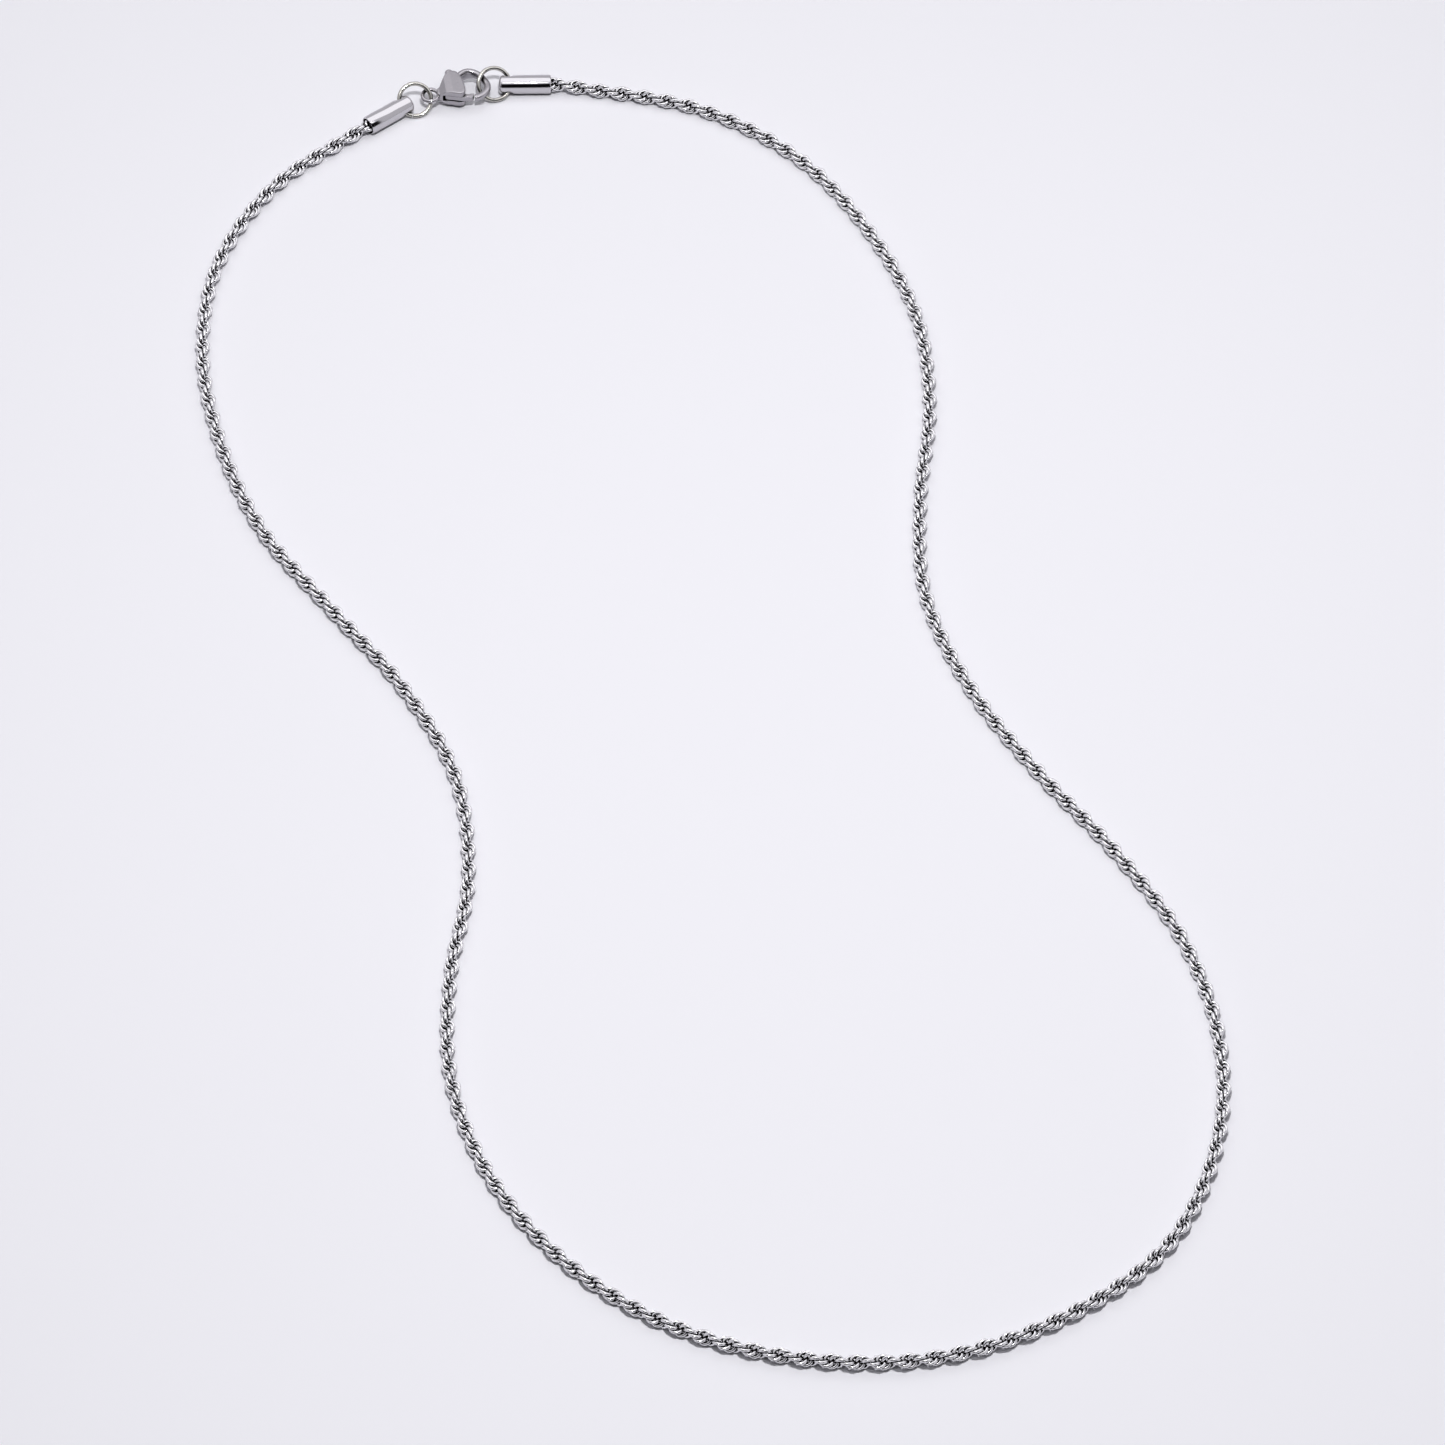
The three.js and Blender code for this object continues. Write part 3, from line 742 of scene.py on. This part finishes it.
# %% [markdown]
# ## The eye
# The jump ring hangs in the eye, which is a small ring cast on the plate. Blender's torus is
# just that, and joining it makes one solid of the two.

# %% The eye on the plate
EYE_HOLE = 1.64 * MM
EYE_TUBE = 0.55 * MM
bpy.ops.mesh.primitive_torus_add(
    major_radius=(EYE_HOLE + EYE_TUBE) / 2, minor_radius=EYE_TUBE / 2,
    major_segments=64, minor_segments=24)
combine(body, bpy.context.object, "UNION")
print("eye outside, mm", round((EYE_HOLE + 2 * EYE_TUBE) / MM, 2))

# %% [markdown]
# ## The hook
# The hook leaves the plate as a tall thin strap, curls round and ends as a lower bar. A bevelled
# curve keeps one section all the way, so the bar is swept here with its own width and height at
# every step. Its section is a rounded square, because a mould leaves it so.

# %% A bar swept along a line
# 1 would be a round section, and smaller is squarer.
SQUARENESS = 0.75


def swept(name, centre_line, widths, heights, material, sides=20):
    """A solid bar along a level line, wide across the line and high along Z."""
    line = np.array(centre_line) * MM
    travel = np.gradient(line, axis=0)
    travel /= np.linalg.norm(travel, axis=1)[:, None]
    vertices = []
    for p, t, w, h in zip(line, travel, widths, heights):
        across = np.array([-t[1], t[0]])
        for j in range(sides):
            a = 2 * math.pi * j / sides
            c, d = (math.copysign(abs(k) ** SQUARENESS, k) for k in (math.cos(a), math.sin(a)))
            x, y = p + across * w / 2 * c
            vertices.append((x, y, h / 2 * d))
    return outward(mesh_object(name, vertices, tube_faces(len(line), sides), material))

# %% The hook, before its tip is cut
HOOK_LINE = [
    (3.8, 2.0), (4.35, 2.6), (5.0, 3.0), (5.72, 3.13), (6.45, 2.92), (7.13, 2.38),
    (7.63, 1.55), (7.93, 0.65), (7.78, -0.25), (7.25, -0.95), (6.6, -1.36), (5.8, -1.45),
]
LINE_SAMPLES = 8
# In millimetres, and then as shares of the hook's length.
ROOT_WIDTH, TIP_WIDTH = 0.85, 0.9
ROOT_HEIGHT, TIP_HEIGHT = 1.8, 0.9
WIDENS_OVER = 0.45
LOWERS_FROM, LOWERS_OVER = 0.18, 0.42

arm = smooth_curve(np.array(HOOK_LINE), LINE_SAMPLES)
share = np.linspace(0, 1, len(arm))
arm_width = (ROOT_WIDTH + (TIP_WIDTH - ROOT_WIDTH) * smoothstep(share / WIDENS_OVER)) * MM
lowered = smoothstep((share - LOWERS_FROM) / LOWERS_OVER)
arm_height = (ROOT_HEIGHT + (TIP_HEIGHT - ROOT_HEIGHT) * lowered) * MM
hook = swept("hook", arm, arm_width, arm_height, clasp_steel)
print("sections along the hook", len(arm))

# %% [markdown]
# ## Where the lever swings past
# The lever's tip meets the hook's tip along an arc about the pivot, with a gap of a tenth of a
# millimetre. A straight cut would touch when the lever opens, so the hook is cut by a sector
# of a circle about the pivot.

# %% The hook's tip
PIVOT = Vector((3.0, 0.35, 0.0)) * MM
# The radius in millimetres, and the angles in degrees.
TIP_SWING = 3.32
SWING_FROM, SWING_TO = -65, 0
SWING_STEPS = 24
SWING_DEPTH = 4 * MM
middle_x, middle_y = PIVOT.x / MM, PIVOT.y / MM
swing = [(middle_x, middle_y)] + [
    (middle_x + TIP_SWING * math.cos(a), middle_y + TIP_SWING * math.sin(a))
    for a in np.radians(np.linspace(SWING_FROM, SWING_TO, SWING_STEPS))
]
combine(hook, plate("swing", swing, SWING_DEPTH, clasp_steel), "DIFFERENCE")
combine(body, hook, "UNION")
print("faces of the joined casting", len(body.data.polygons))

# %% [markdown]
# ## The slot, and the skin of a casting
# The lever lies in a slot through the plate. After it is cut, the whole solid is rebuilt from
# small cells and smoothed. Bevels would stop at the awkward places where plate, eye and hook
# run together, and this softens every edge and every inner corner alike, as tumbling does. The
# cells are 0.045 mm wide, half the width of the finest gap.

# %% Rebuilding from cells
SOFTENING = 0.5


def cast(made, cell, passes):
    """Rebuilds a solid from small cells and smooths it, like a tumbled casting."""
    remesh = made.modifiers.new("cells", "REMESH")
    remesh.mode = "VOXEL"
    remesh.voxel_size = cell
    soften = made.modifiers.new("soften", "SMOOTH")
    soften.factor = SOFTENING
    soften.iterations = passes
    return settle(made)

# %% The finished casting
SLOT_HEIGHT = 1.0 * MM
BODY_CELL = 0.045 * MM
SLOT_OUTLINE = [
    (1.75, 0.5), (1.6, -0.3), (1.6, -2.0), (5.9, -2.0), (5.9, 1.7), (3.9, 1.7), (3.6, 2.1),
    (3.5, 3.5), (0.5, 3.5), (1.8, 1.7),
]
combine(body, plate("slot", SLOT_OUTLINE, SLOT_HEIGHT, clasp_steel), "DIFFERENCE")
cast(body, BODY_CELL, passes=6)
place(body, CLASP_EYE, clasp_turn)
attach(body, "clasp")
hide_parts("clasp_body")
print("faces of the clasp", len(body.data.polygons))

# %% [markdown]
# ## The lever
# The lever turns on the rivet inside the slot. One arm closes the hook and the other ends in a
# round knob for the thumb. It is cast and tumbled like the body, so it is made in the same way:
# an outline, a joined ball, a drilled hole for the rivet, and small cells. The ball is a little
# flatter toward the plate, as such knobs are.

# %% Sizes of the lever
LEVER_HEIGHT = 0.8 * MM
LEVER_ROUND = 0.12 * MM
LEVER_CELL = 0.035 * MM
PIN_HOLE = 0.7 * MM
PIN_DRILL = 4 * MM
KNOB_RADIUS = 0.6 * MM
KNOB_AT = Vector((3.1, 3.62, 0)) * MM
KNOB_FLATNESS = 0.9
LEVER_OUTLINE = [
    (1.85, 0.3), (1.78, -0.35), (2.05, -0.78), (2.9, -1.05), (3.6, -1.3), (4.1, -1.45),
    (4.8, -1.6), (5.45, -1.68), (5.62, -1.6), (5.78, -1.3), (5.86, -1.05), (5.7, -0.98),
    (5.0, -0.95), (4.4, -0.65), (3.7, 0.1), (3.55, 0.7), (3.35, 1.4), (3.3, 3.4), (2.8, 3.4),
    (2.6, 1.4), (2.3, 0.9),
]
print("corners in the lever's outline", len(LEVER_OUTLINE))

# %% The lever and its knob
lever = plate("lever_casting", closed_curve(LEVER_OUTLINE), LEVER_HEIGHT, clasp_steel)
rounded(lever, LEVER_ROUND, segments=3, angle=60)
bpy.ops.mesh.primitive_uv_sphere_add(segments=48, ring_count=24, radius=KNOB_RADIUS)
knob = place(bpy.context.object, KNOB_AT, Matrix.Diagonal((1, KNOB_FLATNESS, 1, 1)))
combine(lever, knob, "UNION")
pin = round_bar("pin", PIN_HOLE, PIN_DRILL, Vector((0, 0, 1)), clasp_steel)
combine(lever, place(pin, PIVOT), "DIFFERENCE")
cast(lever, LEVER_CELL, passes=5)
place(lever, CLASP_EYE, clasp_turn)
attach(lever, "clasp_lever")
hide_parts("clasp_lever")
print("faces of the lever", len(lever.data.polygons))

# %% [markdown]
# ## The leaf spring
# A bowed leaf of thin rolled spring steel sits in the slot and pushes the lever shut. It is
# duller than the rest, because nobody polishes it. When the lever opens, the leaf flattens. A
# shape key with a driver could do that, but the frame has a way of its own: it squashes the
# leaf along the slot as the lever turns.

# %% Rolled steel, and the leaf
spring_steel = steel("spring steel", "#9A9A9E", roughness=0.35, spread=0.05, patch=0.3 * MM)
SPRING_LINE = [
    (3.95, 1.6), (4.35, 1.3), (4.5, 0.8), (4.45, 0.3), (4.28, -0.1), (4.02, -0.02),
]
LEAF_THICKNESS = 0.08 * MM
LEAF_WIDTH = 0.6 * MM

leaf = smooth_curve(np.array(SPRING_LINE), LINE_SAMPLES)
spring = swept(
    "leaf_spring", leaf, [LEAF_THICKNESS] * len(leaf), [LEAF_WIDTH] * len(leaf), spring_steel,
    sides=16)
place(spring, CLASP_EYE, clasp_turn)
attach(spring, "clasp")
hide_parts("clasp_spring")
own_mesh(spring)
print("sections along the leaf", len(leaf))

# %% [markdown]
# ## The rivet
# The rivet's ends are filed flush with the casting and tumbled with it, so nothing of it shows.
# It needs no shape of its own: the plain CAD node stays, in the steel of the clasp.

# %% The rivet in the clasp's steel
rivet = frame["nodes"]["clasp_rivet"]
for slot in rivet.material_slots:
    slot.material = clasp_steel
print("rivet wears", [slot.material.name for slot in rivet.material_slots])

# %% [markdown]
# ## Pale paper
# The necklace lies on a sheet of uncoated paper: matt, with a faint lilac tint and only a trace
# of shine. Its IOR keeps the default, 1.5, which is about that of paper's fibres, and its grain
# is too fine to show from this far, so it has none. Past the reach of the lamps the sheet would
# turn grey and end in an edge. A curved studio sweep could hide that. It is simpler to let the
# far part fade into the colour of the backdrop, for the camera and for whatever mirrors it,
# while the near part keeps the necklace's shadow.

# %% The paper itself
sheet_paper = empty_material("pale paper")
paper = add_node(
    sheet_paper, "ShaderNodeBsdfPrincipled",
    {"Base Color": linear("#F1F0F6"), "Roughness": 0.7, "Specular IOR Level": 0.2})
print("paper roughness", round(paper.inputs["Roughness"].default_value, 2))

# %% Its fade into the backdrop
BACKDROP = "#ECEBF1"
# In metres from the middle of the table.
FADE_FROM = 0.16
FADE_TO = 0.27
from_middle = add_node(sheet_paper, "ShaderNodeTexCoord").outputs["Object"]
reach_of_light = add_node(
    sheet_paper, "ShaderNodeVectorMath", {"operation": "LENGTH"}, {0: from_middle})
far_off = add_node(
    sheet_paper, "ShaderNodeMapRange",
    {"interpolation_type": "SMOOTHSTEP", "From Min": FADE_FROM, "From Max": FADE_TO},
    {"Value": reach_of_light.outputs["Value"]})
paper_ray = add_node(sheet_paper, "ShaderNodeLightPath")
looking = add_node(
    sheet_paper, "ShaderNodeMath", {"operation": "MAXIMUM"},
    {0: paper_ray.outputs["Is Camera Ray"], 1: paper_ray.outputs["Is Glossy Ray"]})
faded = add_node(
    sheet_paper, "ShaderNodeMath", {"operation": "MULTIPLY"},
    {0: far_off.outputs["Result"], 1: looking.outputs[0]})
glow = add_node(sheet_paper, "ShaderNodeEmission", {"Color": linear(BACKDROP)})
sheet_mix = add_node(
    sheet_paper, "ShaderNodeMixShader", None,
    {0: faded.outputs[0], 1: paper.outputs[0], 2: glow.outputs[0]})
add_node(sheet_paper, "ShaderNodeOutputMaterial", None, {"Surface": sheet_mix.outputs[0]})
print("paper fades between", FADE_FROM, "and", FADE_TO, "m from the middle")

# %% The table
TABLE_SIZE = 4
bpy.ops.mesh.primitive_plane_add(size=TABLE_SIZE)
table = bpy.context.object
table.name = "table"
table.data.materials.append(sheet_paper)
print("table, m", TABLE_SIZE)

# %% [markdown]
# ## What the metal mirrors
# Polished steel shows its surroundings more than itself. A photographed studio could surround
# it; a plain pale tent with one dark opening on the viewer's side gives the same bands, and
# each of its edges can be moved. The opening is what draws the black band along a polished
# tube. Only mirrored rays see this tent. All other rays get its soft light, and the camera sees
# the plain backdrop.

# %% Height and side of a direction
world = bpy.data.worlds.new("studio")
bpy.context.scene.world = world
world.use_nodes = True
world.node_tree.nodes.clear()

# In a world, the Generated coordinate is the direction in which a ray looks.
direction = add_node(world, "ShaderNodeTexCoord").outputs["Generated"]
height = add_node(world, "ShaderNodeSeparateXYZ", None, {0: direction}).outputs["Z"]
flattened = add_node(
    world, "ShaderNodeVectorMath", {"operation": "MULTIPLY", 1: (1, 1, 0)}, {0: direction})
level = add_node(
    world, "ShaderNodeVectorMath", {"operation": "NORMALIZE"}, {0: flattened.outputs[0]})
toward_back = add_node(world, "ShaderNodeSeparateXYZ", None, {0: level.outputs[0]}).outputs["Y"]
print("world", world.name)

# %% Inside or outside the opening
OPENING_LOW = math.radians(6)
OPENING_HIGH = math.radians(50)
OPENING_SIDE = math.radians(50)
SOFT_EDGE = math.radians(3)
# Each edge of the opening goes from 0 outside to 1 inside.
edges = [
    (height, math.sin(OPENING_LOW - SOFT_EDGE), math.sin(OPENING_LOW + SOFT_EDGE)),
    (height, math.sin(OPENING_HIGH + SOFT_EDGE), math.sin(OPENING_HIGH - SOFT_EDGE)),
    (toward_back, -math.cos(OPENING_SIDE + SOFT_EDGE), -math.cos(OPENING_SIDE - SOFT_EDGE)),
]
inside = [
    add_node(
        world, "ShaderNodeMapRange",
        {"interpolation_type": "SMOOTHSTEP", "From Min": outside_at, "From Max": inside_at},
        {"Value": value}).outputs["Result"]
    for value, outside_at, inside_at in edges
]
inside_heights = add_node(
    world, "ShaderNodeMath", {"operation": "MULTIPLY"}, {0: inside[0], 1: inside[1]})
inside_opening = add_node(
    world, "ShaderNodeMath", {"operation": "MULTIPLY"},
    {0: inside_heights.outputs[0], 1: inside[2]})
print("edges of the opening", len(edges))

# %% Tent, soft light and backdrop
shades = {
    "tent": "#DDDCE0",
    "opening": "#08080A",
    "soft light": "#666669",
    "backdrop": BACKDROP,
}
shade = {
    name: add_node(world, "ShaderNodeBackground", {"Color": linear(colour)}).outputs[0]
    for name, colour in shades.items()
}
ray = add_node(world, "ShaderNodeLightPath")
mirrored = add_node(
    world, "ShaderNodeMixShader", None,
    {0: inside_opening.outputs[0], 1: shade["tent"], 2: shade["opening"]})
lit = add_node(
    world, "ShaderNodeMixShader", None,
    {0: ray.outputs["Is Glossy Ray"], 1: shade["soft light"], 2: mirrored.outputs[0]})
seen = add_node(
    world, "ShaderNodeMixShader", None,
    {0: ray.outputs["Is Camera Ray"], 1: lit.outputs[0], 2: shade["backdrop"]})
add_node(world, "ShaderNodeOutputWorld", None, {"Surface": seen.outputs[0]})
print("world has", len(world.node_tree.nodes), "nodes")

# %% [markdown]
# ## Lamps
# The key lamp is small and hangs half a metre above the near end of the loop, so that the chain
# keeps a soft narrow shadow. A long strip in front gives each link its glint, and a wide panel
# fills the clasp's end. A sun lamp would give one hard shadow and no glints of any size. The
# table is lit at a level at which the paper shows as its own colour.

# %% Three soft boxes
def softbox(name, place_at, aim_at, width, depth, watts):
    """A flat lamp at a place, turned to shine at another."""
    lamp = bpy.data.lights.new(name, "AREA")
    lamp.shape = "RECTANGLE"
    lamp.size = width
    lamp.size_y = depth
    lamp.energy = watts
    made = bpy.data.objects.new(name, lamp)
    bpy.context.scene.collection.objects.link(made)
    made.location = place_at
    made.rotation_euler = (Vector(aim_at) - Vector(place_at)).to_track_quat("-Z", "Y").to_euler()
    print(name, watts, "W")


softbox("key", (0.01, -0.09, 0.5), (0.01, -0.09, 0), width=0.045, depth=0.045, watts=1.5)
softbox("strip", (0.0, -0.45, 1.3), (0, 0, 0), width=1.0, depth=0.08, watts=1.6)
softbox("panel", (0.0, 0.17, 0.25), (0.0, 0.09, 0), width=0.6, depth=0.25, watts=0.42)

# %% [markdown]
# ## Camera
# The picture was taken from about a metre away with a long lens, looking down at the table at
# 51 degrees. A short lens close by would frame the same loop, but make its near end look larger
# than its far end.

# %% A long lens
LOOK_DOWN = 51
CAMERA_AT = (0.0036, -0.6931, 0.84845)
camera_data = bpy.data.cameras.new("camera")
camera = bpy.data.objects.new("camera", camera_data)
bpy.context.scene.collection.objects.link(camera)
bpy.context.scene.camera = camera
camera.location = CAMERA_AT
camera.rotation_euler = (math.radians(90 - LOOK_DOWN), 0, 0)
camera_data.lens = 211.76
camera_data.sensor_width = 36
camera_data.clip_start = 0.01
camera_data.clip_end = 20
bpy.context.scene.view_settings.view_transform = "Standard"
print("camera, m from the middle of the table", round(Vector(CAMERA_AT).length, 2))
